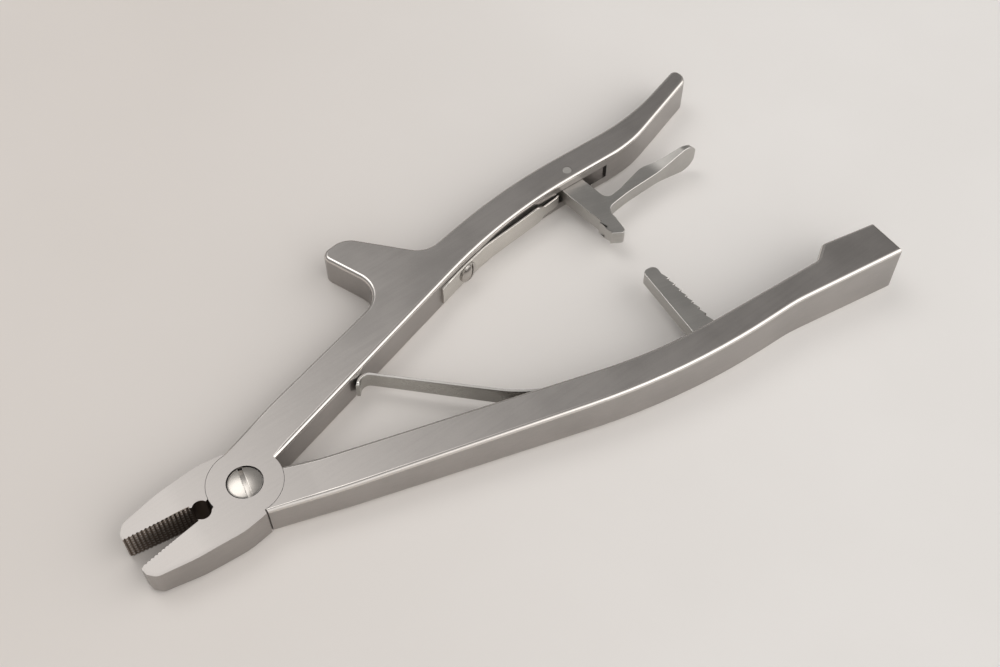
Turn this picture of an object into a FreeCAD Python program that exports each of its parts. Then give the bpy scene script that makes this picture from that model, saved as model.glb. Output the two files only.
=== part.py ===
import FreeCAD, Part
import math
import os
import Sketcher

Vector = FreeCAD.Vector

# Pin extraction forceps. Two lap-jointed levers turn on a slotted pivot screw. A leaf spring opens
# the handles, and a sprung pawl in one handle catches a toothed bar on the other to hold them closed.
#
# Frame: the origin is on the pivot axis, in the underside of the joint. +Z is the pivot axis, +X runs
# from the jaws to the handles along the middle line between them, and the spur lever is on the +Y side.
# Each lever is drawn in its closed position, with the plane where the jaws meet at y = 0, and is then
# turned open by its Placement.

# Driving sizes, in millimetres and degrees.
SIZES = {
    # The lap joint, seen along the pivot axis and from the side.
    "joint_thickness": 11.0,
    "lap_radius": 10.35,
    "lap_clearance": 0.12,
    "lap_gap": 0.04,
    "shoulder_height": 1.0,
    "shoulder_angle": 9.3,
    "opening_angle": 16.0,
    "crotch_gap": 0.15,
    # The pivot screw.
    "head_radius": 4.85,
    "head_depth": 2.6,
    "head_gap": 0.18,
    "head_dome": 0.3,
    "head_crown": 0.7,
    "shank_radius": 3.3,
    "shank_clearance": 0.04,
    "thread_radius": 2.75,
    "slot_width": 1.15,
    "slot_depth": 1.0,
    "slot_angle": 68.0,
    "screw_end_bevel": 0.3,
    # The jaws.
    "jaw_length": 33.9,
    "jaw_gap": 0.1,
    "jaw_shoulder_x": -9.0,
    "jaw_shoulder_y": 11.25,
    "jaw_waist_back": 11.9,
    "jaw_waist_y": 8.5,
    "jaw_nose_back": 1.5,
    "jaw_nose_y": 5.0,
    "jaw_nose_width": 2.6,
    "jaw_nose_radius": 1.2,
    "jaw_corner_radius": 3.0,
    "jaw_waist_radius": 30.0,
    "jaw_shoulder_radius": 20.0,
    "jaw_taper_length": 15.9,
    "jaw_nose_thickness": 9.4,
    "pin_hole_x": 13.05,
    "pin_hole_radius": 2.35,
    "pin_hole_offset": 1.25,
    "serration_pitch": 1.18,
    "serration_depth": 0.42,
    "serration_margin": 0.5,
    # The spur lever's handle. Sizes that end in back count from the handle's end towards the joint.
    "spur_root_x": 20.0,
    "spur_root_y": 14.6,
    "spur_bend_x": 115.6,
    "spur_bend_y": 15.9,
    "spur_bend_radius": 180.0,
    "spur_length": 203.7,
    "spur_dip_back": 37.0,
    "spur_dip_y": 8.25,
    "spur_dip_radius": 48.0,
    "spur_end_inner_y": 15.0,
    "spur_end_inner_radius": 4.0,
    "spur_end_outer_y": 21.2,
    "spur_end_outer_radius": 2.2,
    "spur_outer_dip_back": 28.4,
    "spur_outer_dip_y": 16.85,
    "spur_outer_dip_radius": 89.0,
    "spur_outer_bend_x": 123.6,
    "spur_outer_bend_y": 25.1,
    "spur_outer_bend_radius": 200.0,
    "spur_root_radius": 120.0,
    "spur_end_thickness": 13.0,
    # The finger spur on its back: a front edge, a rounded tip and a long foot behind.
    "finger_x": 70.0,
    "finger_front_y": 20.9,
    "finger_front_radius": 9.0,
    "finger_tip_lean": 5.0,
    "finger_tip_y": 45.5,
    "finger_tip_width": 10.0,
    "finger_tip_front_radius": 3.0,
    "finger_tip_back_radius": 7.0,
    "finger_foot": 18.9,
    "finger_foot_y": 23.3,
    "finger_foot_radius": 8.0,
    # The block lever's handle. Its y sizes count away from the closing plane, like the spur lever's.
    "block_neck_x": 20.0,
    "block_neck_y": 2.75,
    "block_neck_radius": 60.0,
    "block_bend_x": 119.5,
    "block_bend_y": 19.8,
    "block_bend_radius": 170.0,
    "block_length": 202.1,
    "block_foot_back": 24.5,
    "block_foot_y": 16.2,
    "block_foot_radius": 3.0,
    "block_step_back": 19.3,
    "block_step_y": 11.9,
    "block_step_radius": 2.4,
    "block_face_lean": 0.8,
    "block_face_y": 13.25,
    "block_corner_y": 26.35,
    "block_corner_radius": 0.8,
    "block_outer_dip_back": 38.8,
    "block_outer_dip_y": 25.85,
    "block_outer_dip_radius": 60.0,
    "block_outer_bend_x": 121.6,
    "block_outer_bend_y": 30.3,
    "block_outer_bend_radius": 234.0,
    "block_root_x": 23.0,
    "block_root_y": 15.2,
    "block_root_radius": 150.0,
    "block_end_thickness": 17.8,
    "handle_taper_start": 16.0,
    "taper_blend_radius": 60.0,
    "edge_bevel": 0.75,
    "jaw_edge_bevel": 0.5,
    # The return spring, a curled leaf screwed to the block lever's inner face.
    "return_screw_x": 96.8,
    "return_spring_end_x": 101.5,
    "return_spring_bend_x": 81.5,
    "return_spring_bend_radius": 38.0,
    "return_spring_thickness": 1.0,
    "return_spring_width": 6.6,
    "return_spring_tip_width": 5.5,
    "return_spring_tip_run": 10.0,
    "return_spring_blend_radius": 40.0,
    "return_contact_x": 44.9,
    "return_curl_radius": 3.0,
    "return_curl_turn": 95.0,
    "return_curl_tail": 4.6,
    "contact_gap": 0.08,
    "seat_gap": 0.02,
    "head_seat_gap": 0.06,
    # The two spring screws.
    "spring_screw_head_radius": 3.4,
    "spring_screw_head_height": 1.3,
    "spring_screw_dome": 0.4,
    "spring_screw_radius": 1.5,
    "spring_screw_length": 6.0,
    "spring_screw_clearance": 0.02,
    "spring_hole_clearance": 0.1,
    "spring_screw_slot_width": 0.8,
    "spring_screw_slot_depth": 0.7,
    "return_screw_slot_angle": 25.0,
    "pawl_screw_slot_angle": 70.0,
    # The pawl's cross pin, and the slot that the pawl hangs in.
    "pin_x": 143.2,
    "pin_y": 15.2,
    "pin_radius": 1.5,
    "pin_fit": 0.01,
    "pin_clearance": 0.04,
    "pin_recess": 0.05,
    "slot_ahead": 7.6,
    "slot_behind": 13.3,
    "slot_above": 4.0,
    "slot_roof_behind": 5.5,
    "slot_end_below": 4.0,
    "slot_front_radius": 1.0,
    "slot_back_radius": 2.0,
    "pawl_thickness": 5.0,
    "pawl_side_gap": 0.15,
    # The pawl's heel and eye, measured from the centre of its pin.
    "pawl_heel": 6.6,
    "pawl_heel_thickness": 3.4,
    "pawl_heel_lean": 0.2,
    "pawl_heel_radius": 1.5,
    "pawl_arm_ahead": 4.9,
    "pawl_arm_radius": 0.5,
    "pawl_eye": 3.3,
    "pawl_eye_radius": 3.2,
    "pawl_eye_foot_radius": 8.0,
    # Its arm and toothed tip.
    "pawl_neck": 5.6,
    "pawl_neck_drop": 17.2,
    "pawl_tip": 7.9,
    "pawl_tip_drop": 25.6,
    "pawl_teeth": 3,
    "pawl_tooth_radius": 0.1,
    "pawl_end_drop": 28.8,
    "pawl_end_slant": 3.6,
    "pawl_end_radius": 1.2,
    "pawl_back": 3.3,
    "pawl_back_rise": 1.6,
    "pawl_back_radius": 2.0,
    "pawl_waist": 1.6,
    "pawl_waist_rise": 3.6,
    "pawl_waist_radius": 8.0,
    # Its thumb lever, which flares to a paddle.
    "pawl_fork": 1.0,
    "pawl_fork_radius": 3.5,
    "pawl_crook": 2.4,
    "pawl_crook_radius": 2.5,
    "pawl_lever_drop": 18.1,
    "pawl_lever_thickness": 2.9,
    "pawl_lever_length": 39.6,
    "paddle_low_bend": 9.0,
    "paddle_low_radius": 60.0,
    "paddle_foot_bend": 9.0,
    "paddle_foot_radius": 15.0,
    "paddle_crest": 20.5,
    "paddle_crest_rise": 1.3,
    "paddle_crest_radius": 8.0,
    "paddle_hollow": 27.5,
    "paddle_hollow_drop": 1.7,
    "paddle_hollow_radius": 20.0,
    "paddle_drop": 3.2,
    "paddle_thickness": 1.2,
    "paddle_edge_radius": 0.5,
    # Seen from the side, the paddle flares evenly to its round end.
    "paddle_start": 23.0,
    "paddle_blend_radius": 20.0,
    "paddle_height": 12.0,
    "paddle_corner_back": 1.6,
    "paddle_corner_radius": 5.0,
    "paddle_end_flat": 1.0,
    # The ratchet bar, set in the block lever's inner face.
    "bar_ahead": 10.2,
    "bar_tip_ahead": 4.9,
    "bar_root_ahead": 2.4,
    "bar_tip_below": 5.2,
    "bar_first_tooth_below": 8.8,
    "bar_teeth": 8,
    "tooth_pitch": 2.75,
    "tooth_depth": 0.75,
    "bar_thickness": 4.6,
    "bar_tang_depth": 5.0,
    "bar_tip_radius": 1.9,
    "bar_foot_bevel": 0.3,
    "bar_fit": 0.02,
    # The pawl spring, a strip screwed to the spur lever's inner face.
    "pawl_spring_start_x": 83.0,
    "pawl_screw_x": 95.0,
    "pawl_spring_leave_x": 99.0,
    "pawl_spring_bend": 5.0,
    "pawl_spring_bend_radius": 45.0,
    "pawl_spring_thickness": 0.8,
    "pawl_spring_width": 7.0,
    "pawl_spring_tongue_width": 4.0,
    "pawl_spring_neck": 16.5,
    "pawl_spring_taper": 2.5,
    "pawl_spring_neck_radius": 2.0,
    "pawl_hook": 7.0,
    "pawl_hook_drop": 3.2,
    "pawl_hook_tip": 5.8,
    "pawl_hook_radius": 2.2,
}

doc = FreeCAD.newDocument("PinExtractionForceps")
sheet = doc.addObject("Spreadsheet::Sheet", "Sizes")
for row, (alias, value) in enumerate(SIZES.items(), start=1):
    sheet.set("A%d" % row, alias.replace("_", " "))
    sheet.set("B%d" % row, str(value))
    sheet.setAlias("B%d" % row, alias)
doc.recompute()


# Reads one size from the sheet.
def size(alias):
    return float(sheet.get(alias))


middle = size("joint_thickness") / 2
margin = 2.0    # how far a cut reaches past the metal


# An outline is a list of corners (x, y, radius) and arcs (centre_x, centre_y, radius, start, end) in
# degrees. Corners with a radius become tangent arcs, and straight lines join what is left.
def outline_edges(items):
    def arc_point(arc, angle):
        turn = math.radians(angle)
        return Vector(arc[0] + arc[2] * math.cos(turn), arc[1] + arc[2] * math.sin(turn), 0)

    spans = []
    for item in items:
        if len(item) == 5:
            spans.append((arc_point(item, item[3]), arc_point(item, item[4])))
        else:
            point = Vector(item[0], item[1], 0)
            spans.append((point, point))
    pieces = []
    count = len(items)
    for index, item in enumerate(items):
        entry, leave = spans[index]
        if len(item) == 5:
            pieces.append((entry, arc_point(item, (item[3] + item[4]) / 2), leave))
        elif item[2] > 0:
            before = (spans[index - 1][1] - entry).normalize()
            after = (spans[(index + 1) % count][0] - entry).normalize()
            half = before.getAngle(after) / 2
            reach = item[2] / math.tan(half)
            centre = entry + (before + after).normalize() * (item[2] / math.sin(half))
            middle_point = centre + (entry - centre).normalize() * item[2]
            pieces.append((entry + before * reach, middle_point, entry + after * reach))
        else:
            pieces.append((entry, None, entry))
    edges = []
    for index, piece in enumerate(pieces):
        if piece[1] is not None:
            turn = (piece[1] - piece[0]).cross(piece[2] - piece[1]).z
            first, last = (piece[0], piece[2]) if turn > 0 else (piece[2], piece[0])
            edges.append(Part.Arc(first, piece[1], last))
        following = pieces[(index + 1) % count][0]
        if (following - piece[2]).Length > 1e-5:
            edges.append(Part.LineSegment(piece[2], following))
    return edges


# Turns an outline over to the other side of the closing plane.
def mirrored(items):
    result = []
    for item in items:
        if len(item) == 5:
            result.append((item[0], -item[1], item[2], -item[3], -item[4]))
        else:
            result.append((item[0], -item[1], item[2]))
    return result


def new_body(name):
    body = doc.addObject("PartDesign::Body", name)
    body.Label = name
    return body


def origin_plane(body, role):
    return [feature for feature in body.Origin.OriginFeatures if feature.Role == role][0]


# A sketch on one of the body's own planes, raised by an expression where one is given.
def new_sketch(body, name, role, height=None):
    sketch = body.newObject("Sketcher::SketchObject", name)
    sketch.AttachmentSupport = [(origin_plane(body, role), "")]
    sketch.MapMode = "FlatFace"
    if height is not None:
        sketch.setExpression("AttachmentOffset.Base.z", height)
    return sketch


# Draws one closed outline in a sketch and joins each edge to the next at their nearest ends.
def draw(sketch, items):
    for edge in outline_edges(items):
        sketch.addGeometry(edge, False)
    edges = sketch.Geometry
    for index, edge in enumerate(edges):
        following = (index + 1) % len(edges)
        ends = [edge.StartPoint, edge.EndPoint]
        starts = [edges[following].StartPoint, edges[following].EndPoint]
        pairs = [(a, b) for a in (0, 1) for b in (0, 1)]
        a, b = min(pairs, key=lambda pair: (ends[pair[0]] - starts[pair[1]]).Length)
        sketch.addConstraint(Sketcher.Constraint("Coincident", index, a + 1, following, b + 1))


# A circle whose radius and place follow the sheet.
def draw_circle(sketch, x, y, radius):
    index = sketch.addGeometry(Part.Circle(Vector(0, 0, 0), Vector(0, 0, 1), 1.0), False)
    number = sketch.addConstraint(Sketcher.Constraint("Radius", index, 1.0))
    sketch.setExpression("Constraints[%d]" % number, radius)
    for kind, place in (("DistanceX", x), ("DistanceY", y)):
        if place is None:
            continue
        number = sketch.addConstraint(Sketcher.Constraint(kind, -1, 1, index, 3, 1.0))
        sketch.setExpression("Constraints[%d]" % number, place)
    if x is None and y is None:
        sketch.addConstraint(Sketcher.Constraint("Coincident", index, 3, -1, 1))
    elif y is None:
        sketch.addConstraint(Sketcher.Constraint("PointOnObject", index, 3, -1))


def pad(body, name, sketch, length):
    feature = body.newObject("PartDesign::Pad", name)
    feature.Profile = sketch
    feature.SideType = "Symmetric"
    feature.setExpression("Length", length)
    return feature


# Cuts a sketch out of the body: right through both ways, or to a length along or against its normal.
def pocket(body, name, sketch, length=None, against=False, symmetric=False):
    feature = body.newObject("PartDesign::Pocket", name)
    feature.Profile = sketch
    if length is None:
        feature.Type = "ThroughAll"
        feature.SideType = "Symmetric"
    else:
        feature.Type = "Length"
        feature.setExpression("Length", length)
        if symmetric:
            feature.SideType = "Symmetric"
        feature.Reversed = against
    return feature


# The edges of a feature that a test picks, bevelled together.
def bevel_edges(body, name, base, width, picked):
    names = []
    for index, edge in enumerate(base.Shape.Edges, start=1):
        if picked(edge):
            names.append("Edge%d" % index)
    bevel = body.newObject("PartDesign::Chamfer", name)
    bevel.Base = (base, names)
    bevel.setExpression("Size", width)
    return bevel


# The y of an outline's inner edge at a station, and the unit vectors along it and out of it.
def face_at(items, station):
    wire = Part.Wire([edge.toShape() for edge in outline_edges(items)])

    def height(x):
        probe = Part.makeLine(Vector(x, 0, 0), Vector(x, size("spur_length"), 0))
        return min(pair[0].y for pair in wire.distToShape(probe)[1])

    step = 0.05
    slope = (height(station + step) - height(station - step)) / (2 * step)
    along = Vector(1, slope, 0).normalize()
    outward = Vector(along.y, -along.x, 0)
    return Vector(station, height(station), 0), along, outward


# The lever outlines, each with its handle above the closing plane and its jaw below it.
def joint_start():
    lap = size("lap_radius")
    shoulder = 90 + size("shoulder_angle")
    crotch = math.degrees(math.asin(size("crotch_gap") / lap))
    return [(0, 0, lap, -shoulder, crotch)]


def joint_and_jaw():
    lap = size("lap_radius")
    shoulder = math.radians(90 - size("shoulder_angle"))
    face = size("jaw_gap") / 2
    parting = 180 + math.degrees(math.asin(face / lap))
    hole_x = -size("pin_hole_x")
    hole = size("pin_hole_radius")
    rise = size("pin_hole_offset") + face
    half = math.degrees(math.acos(rise / hole))
    nose = -size("jaw_length")
    half_width = lap + size("shoulder_height")
    shoulder_end = math.radians(-90 - size("shoulder_angle"))
    return [
        (half_width * math.cos(shoulder), half_width * math.sin(shoulder), 0),
        (0, 0, lap, math.degrees(shoulder), parting),
        (hole_x, rise - face, hole, -90 + half, -90 - half),
        (nose, -face, 0),
        (nose, -size("jaw_nose_width"), size("jaw_nose_radius")),
        (nose + size("jaw_nose_back"), -size("jaw_nose_y"), size("jaw_corner_radius")),
        (nose + size("jaw_waist_back"), -size("jaw_waist_y"), size("jaw_waist_radius")),
        (size("jaw_shoulder_x"), -size("jaw_shoulder_y"), size("jaw_shoulder_radius")),
        (half_width * math.cos(shoulder_end), half_width * math.sin(shoulder_end), 0),
    ]


def spur_handle():
    end = size("spur_length")
    finger = size("finger_x")
    tip_front = finger - size("finger_tip_lean")
    return [
        (size("spur_bend_x"), size("spur_bend_y"), size("spur_bend_radius")),
        (end - size("spur_dip_back"), size("spur_dip_y"), size("spur_dip_radius")),
        (end, size("spur_end_inner_y"), size("spur_end_inner_radius")),
        (end, size("spur_end_outer_y"), size("spur_end_outer_radius")),
        (end - size("spur_outer_dip_back"), size("spur_outer_dip_y"), size("spur_outer_dip_radius")),
        (size("spur_outer_bend_x"), size("spur_outer_bend_y"), size("spur_outer_bend_radius")),
        (finger + size("finger_foot"), size("finger_foot_y"), size("finger_foot_radius")),
        (tip_front + size("finger_tip_width"), size("finger_tip_y"), size("finger_tip_back_radius")),
        (tip_front, size("finger_tip_y"), size("finger_tip_front_radius")),
        (finger, size("finger_front_y"), size("finger_front_radius")),
        (size("spur_root_x"), size("spur_root_y"), size("spur_root_radius")),
    ]


def block_handle():
    end = size("block_length")
    corner = size("block_corner_radius")
    return [
        (size("block_neck_x"), size("block_neck_y"), size("block_neck_radius")),
        (size("block_bend_x"), size("block_bend_y"), size("block_bend_radius")),
        (end - size("block_foot_back"), size("block_foot_y"), size("block_foot_radius")),
        (end - size("block_step_back"), size("block_step_y"), size("block_step_radius")),
        (end - size("block_face_lean"), size("block_face_y"), corner),
        (end, size("block_corner_y"), corner),
        (end - size("block_outer_dip_back"), size("block_outer_dip_y"), size("block_outer_dip_radius")),
        (size("block_outer_bend_x"), size("block_outer_bend_y"), size("block_outer_bend_radius")),
        (size("block_root_x"), size("block_root_y"), size("block_root_radius")),
    ]


spur_outline = joint_start() + spur_handle() + joint_and_jaw()
block_outline = joint_start() + block_handle() + joint_and_jaw()


# Half the lever's thickness at a distance along its handle, where it grows evenly to its end.
def half_thickness(station, end_thickness, end_x):
    start = size("handle_taper_start")
    share = max(0.0, (station - start) / (end_x - start))
    return (size("joint_thickness") + share * (end_thickness - size("joint_thickness"))) / 2


# The space above and below the lever, seen from the side: level over the joint, growing along the
# handle and falling away towards the nose of the jaw.
def side_profile(end_thickness, end_x, above):
    level = size("joint_thickness") / 2
    beyond = 12.0
    far = end_x + beyond
    nose = -size("jaw_length")
    taper = size("jaw_taper_length")
    jaw_slope = (level - size("jaw_nose_thickness") / 2) / taper
    clear = end_thickness + size("joint_thickness")
    points = [
        (nose - beyond, level - jaw_slope * (taper + beyond), 0),
        (nose + taper, level, size("taper_blend_radius")),
        (size("handle_taper_start"), level, size("taper_blend_radius")),
        (far, half_thickness(far, end_thickness, end_x), 0),
        (far, clear, 0),
        (nose - beyond, clear, 0),
    ]
    return [(x, middle + above * z, radius) for x, z, radius in points]


# A zigzag of equal V grooves from one end to the other, closed on the far side of a face.
def groove_zigzag(first, last, count, face, depth, back):
    pitch = (last - first) / count
    points = [(first, face, 0)]
    for number in range(count):
        points.append((first + pitch * (number + 0.5), face + depth, 0))
        points.append((first + pitch * (number + 1), face, 0))
    points.append((last, back, 0))
    points.append((first, back, 0))
    return points


# One lever. side is 1 for the spur lever, whose disc is the upper half of the lap, and -1 for the
# block lever, drawn on the other side of the closing plane with its disc below.
def make_lever(name, outline, side, end_thickness, end_x):
    body = new_body(name)
    shape = outline if side > 0 else mirrored(outline)
    profile = new_sketch(body, name + "_profile", "XY_Plane", "Sizes.joint_thickness / 2")
    draw(profile, shape)
    pad(body, name + "_blank", profile, "2 * max(Sizes.joint_thickness; Sizes.%s)" % end_thickness)
    for above, label in ((1, "_top"), (-1, "_bottom")):
        slope = new_sketch(body, name + label, "XZ_Plane")
        draw(slope, side_profile(size(end_thickness), end_x, above))
        tapered = pocket(body, name + label + "_cut", slope)
    doc.recompute()

    # The long edges are bevelled. The gripping faces, the lap and its shoulders stay sharp.
    def cap_edge(edge):
        if edge.Degenerated:
            return False
        first, last = edge.ParameterRange
        points = [edge.valueAt(first + (last - first) * share) for share in (0.0, 0.3, 0.5, 0.7, 1.0)]
        tangent = edge.tangentAt((first + last) / 2)
        if abs(tangent.z) > 0.5:
            return False
        if min(math.hypot(p.x, p.y) for p in points) < size("lap_radius") + 0.1:
            return False
        if abs(tangent.x) < 1e-4 and points[0].x < size("spur_root_x") + size("handle_taper_start"):
            return abs(points[2].x + size("jaw_length")) < 0.01
        return points[2]

    def handle_edge(edge):
        point = cap_edge(edge)
        return bool(point) and point is not True and point.x > 0

    def jaw_edge(edge):
        point = cap_edge(edge)
        if point is True:
            return True
        return bool(point) and point.x < 0 and -side * point.y > size("jaw_gap")

    handle = bevel_edges(body, name + "_edges", tapered, "Sizes.edge_bevel", handle_edge)
    doc.recompute()
    bevel_edges(body, name + "_jaw_edges", handle, "Sizes.jaw_edge_bevel", jaw_edge)
    doc.recompute()

    # The lap: a round recess through the half of the joint that the other lever's disc fills.
    half_gap = "Sizes.joint_thickness / 2 + %d * Sizes.lap_gap / 2" % side
    recess = new_sketch(body, name + "_recess", "XY_Plane", half_gap)
    draw_circle(recess, None, None, "Sizes.lap_radius + Sizes.lap_clearance")
    pocket(body, name + "_recess_cut", recess, "Sizes.joint_thickness", against=side < 0)

    # The gripping face, cut both ways into rows of small pyramids.
    first = -size("jaw_length")
    reach = math.sqrt(size("pin_hole_radius") ** 2 - size("pin_hole_offset") ** 2)
    last = -size("pin_hole_x") - reach - size("serration_margin")
    face = -side * size("jaw_gap") / 2
    depth = -side * size("serration_depth")
    pitch = size("serration_pitch")
    across = new_sketch(body, name + "_grooves_across", "XY_Plane", "Sizes.joint_thickness / 2")
    draw(across, groove_zigzag(first, last, round((last - first) / pitch), face, depth, side))
    pocket(body, name + "_grooves_across_cut", across)
    low = middle - size("joint_thickness") / 2 - pitch / 2
    high = middle + size("joint_thickness") / 2 + pitch / 2
    lengthwise = new_sketch(body, name + "_grooves_along", "YZ_Plane", str(first - margin))
    zigzag = groove_zigzag(low, high, round((high - low) / pitch), face, depth, side)
    draw(lengthwise, [(y, z, 0) for z, y, radius in zigzag])
    pocket(body, name + "_grooves_along_cut", lengthwise, str(last - first + margin), against=True)
    return body


# A round hole in a body, along the local Z of its placement.
def bore(body, name, place, radius, length):
    cutter = body.newObject("PartDesign::SubtractiveCylinder", name)
    cutter.Placement = place
    cutter.setExpression("Radius", radius)
    cutter.setExpression("Height", length)
    return cutter


# A strip of even thickness along a middle line of corners (x, y, radius).
def band(points, thickness):
    sides = []
    for sign in (1, -1):
        row = []
        for index, (x, y, radius) in enumerate(points):
            here = Vector(x, y, 0)
            runs = []
            if index > 0:
                runs.append((here - Vector(points[index - 1][0], points[index - 1][1], 0)).normalize())
            if index < len(points) - 1:
                runs.append((Vector(points[index + 1][0], points[index + 1][1], 0) - here).normalize())
            normals = [Vector(-run.y, run.x, 0) for run in runs]
            mitre = (normals[0] + normals[-1]).normalize()
            corner = here + mitre * (sign * thickness / 2 / mitre.dot(normals[0]))
            if len(runs) == 2:
                turn = runs[0].cross(runs[1]).z
                radius -= sign * math.copysign(thickness / 2, turn)
            row.append((corner.x, corner.y, radius))
        sides.append(row)
    return sides[0] + sides[1][::-1]


# Cuts away what lies above and below a side profile of half widths (x, half_width, radius).
def trim_sides(body, name, widths):
    clear = 4 * max(width for x, width, radius in widths)
    for above, label in ((1, "_top"), (-1, "_bottom")):
        sketch = new_sketch(body, name + label, "XZ_Plane")
        outline = [(x, middle + above * width, radius) for x, width, radius in widths]
        outline.append((widths[-1][0], middle + above * clear, 0))
        outline.append((widths[0][0], middle + above * clear, 0))
        draw(sketch, outline)
        pocket(body, name + label + "_cut", sketch)


# A turned, slotted screw standing on the local Z axis. Its head rises to a flat crown.
def make_screw(name, steps, head_radius, top, dome, slot_width, slot_depth, slot_angle):
    body = new_body(name)
    profile = new_sketch(body, name + "_profile", "XZ_Plane")
    crown = head_radius * size("head_crown")
    draw(profile, steps + [(head_radius, top, 0), (crown, top + dome, 0), (0, top + dome, 0)])
    turned = body.newObject("PartDesign::Revolution", name + "_turned")
    turned.Profile = profile
    turned.ReferenceAxis = (profile, ["V_Axis"])
    turned.Angle = 360
    slot = new_sketch(body, name + "_slot", "XY_Plane", "%f" % (top + dome))
    across = Vector(math.cos(math.radians(slot_angle)), math.sin(math.radians(slot_angle)), 0)
    side = Vector(-across.y, across.x, 0) * size(slot_width) / 2
    reach = across * (head_radius + margin)
    corners = [reach + side, side - reach, -side - reach, reach - side]
    draw(slot, [(corner.x, corner.y, 0) for corner in corners])
    pocket(body, name + "_slot_cut", slot, "Sizes.%s + %f" % (slot_depth, dome))
    return body


# Where a strip's screw goes on a lever's inner face, and the screw itself.
def face_place(items, side, station, lift):
    point, along, outward = face_at(items, station)
    point += outward * lift
    point = Vector(point.x, side * point.y, 0)
    outward = Vector(outward.x, side * outward.y, 0)
    turn = FreeCAD.Rotation(Vector(0, 0, 1), outward)
    return FreeCAD.Placement(Vector(point.x, point.y, middle), turn)


def make_spring_screw(name, items, side, station, thickness, slot_angle):
    gap = size("seat_gap")
    length = size("spring_screw_length")
    radius = size("spring_screw_radius")
    bevel = size("screw_end_bevel")
    head = size("spring_screw_head_radius")
    height = size("spring_screw_head_height")
    steps = [
        (0, -length, 0),
        (radius - bevel, -length, 0),
        (radius, -length + bevel, 0),
        (radius, 0, 0),
        (head, 0, 0),
    ]
    body = make_screw(
        name, steps, head, height, size("spring_screw_dome"),
        "spring_screw_slot_width", "spring_screw_slot_depth", slot_angle,
    )
    place = face_place(items, side, station, thickness + gap + size("head_seat_gap"))
    return body, place


# Half the opening angle turns each lever and what is fixed to it.
half_open = FreeCAD.Rotation(Vector(0, 0, 1), size("opening_angle") / 2)
spur_place = FreeCAD.Placement(Vector(0, 0, 0), half_open)
block_place = FreeCAD.Placement(Vector(0, 0, 0), half_open.inverted())
up = FreeCAD.Rotation()
hole_radius = "Sizes.spring_screw_radius + Sizes.spring_screw_clearance"
hole_depth = "Sizes.spring_screw_length + Sizes.spring_screw_radius"

# Spur lever
spur_lever = make_lever("spur_lever", spur_outline, 1, "spur_end_thickness", size("spur_length"))
bore(spur_lever, "pivot_bore", FreeCAD.Placement(Vector(0, 0, 0), up),
     "Sizes.shank_radius + Sizes.shank_clearance", "2 * Sizes.joint_thickness")
seat_low = Vector(0, 0, size("joint_thickness") - size("head_depth"))
bore(spur_lever, "head_seat", FreeCAD.Placement(seat_low, up),
     "Sizes.head_radius + Sizes.head_gap", "Sizes.joint_thickness")
pawl_slot = new_sketch(spur_lever, "pawl_slot", "XY_Plane", "Sizes.joint_thickness / 2")
slot_left = size("pin_x") - size("slot_ahead")
slot_right = size("pin_x") + size("slot_behind")
slot_roof = size("pin_y") + size("slot_above")
draw(pawl_slot, [
    (slot_left, 0, 0),
    (slot_right, 0, 0),
    (slot_right, size("pin_y") - size("slot_end_below"), 0),
    (size("pin_x") + size("slot_roof_behind"), slot_roof, size("slot_back_radius")),
    (slot_left, slot_roof, size("slot_front_radius")),
])
slot_height = "Sizes.pawl_thickness + 2 * Sizes.pawl_side_gap"
pocket(spur_lever, "pawl_slot_cut", pawl_slot, slot_height, symmetric=True)
pin_low = Vector(size("pin_x"), size("pin_y"), -size("joint_thickness"))
pin_line = FreeCAD.Placement(pin_low, up)
bore(spur_lever, "pin_bore", pin_line, "Sizes.pin_radius + Sizes.pin_fit", "3 * Sizes.joint_thickness")
seat = face_place(spur_outline, 1, size("pawl_screw_x"), size("spring_screw_radius"))
inward = seat.multiply(FreeCAD.Placement(Vector(0, 0, 0), FreeCAD.Rotation(Vector(1, 0, 0), 180)))
bore(spur_lever, "pawl_screw_hole", inward, hole_radius, hole_depth)

# Block lever
block_lever = make_lever("block_lever", block_outline, -1, "block_end_thickness", size("block_length"))
bore(block_lever, "thread_bore", FreeCAD.Placement(Vector(0, 0, -margin), up),
     "Sizes.thread_radius + Sizes.shank_clearance / 2", "Sizes.joint_thickness")
bar_left = size("pin_x") - size("bar_ahead")
bar_right = size("pin_x") - size("bar_root_ahead")
bar_foot, along, outward = face_at(block_outline, (bar_left + bar_right) / 2)
bar_foot = -bar_foot.y - size("bar_tang_depth")
bar_slot = new_sketch(block_lever, "bar_slot", "XY_Plane", "Sizes.joint_thickness / 2")
fit = size("bar_fit")
draw(bar_slot, [
    (bar_left - fit, 0, 0),
    (bar_left - fit, bar_foot - fit, 0),
    (bar_right + fit, bar_foot - fit, 0),
    (bar_right + fit, 0, 0),
])
pocket(block_lever, "bar_slot_cut", bar_slot, "Sizes.bar_thickness + 2 * Sizes.bar_fit", symmetric=True)
seat = face_place(block_outline, -1, size("return_screw_x"), size("spring_screw_radius"))
inward = seat.multiply(FreeCAD.Placement(Vector(0, 0, 0), FreeCAD.Rotation(Vector(1, 0, 0), 180)))
bore(block_lever, "return_screw_hole", inward, hole_radius, hole_depth)

# Pivot screw: its shank turns in the spur lever and its thread is held in the block lever.
joint_top = size("joint_thickness")
head_low = joint_top - size("head_depth") + size("seat_gap")
end_bevel = size("screw_end_bevel")
pivot_screw = make_screw(
    "pivot_screw",
    [
        (0, 0, 0),
        (size("thread_radius") - end_bevel, 0, 0),
        (size("thread_radius"), end_bevel, 0),
        (size("thread_radius"), middle, 0),
        (size("shank_radius"), middle, 0),
        (size("shank_radius"), head_low, 0),
        (size("head_radius"), head_low, 0),
    ],
    size("head_radius"), joint_top, size("head_dome"), "slot_width", "slot_depth", size("slot_angle"),
)

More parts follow.
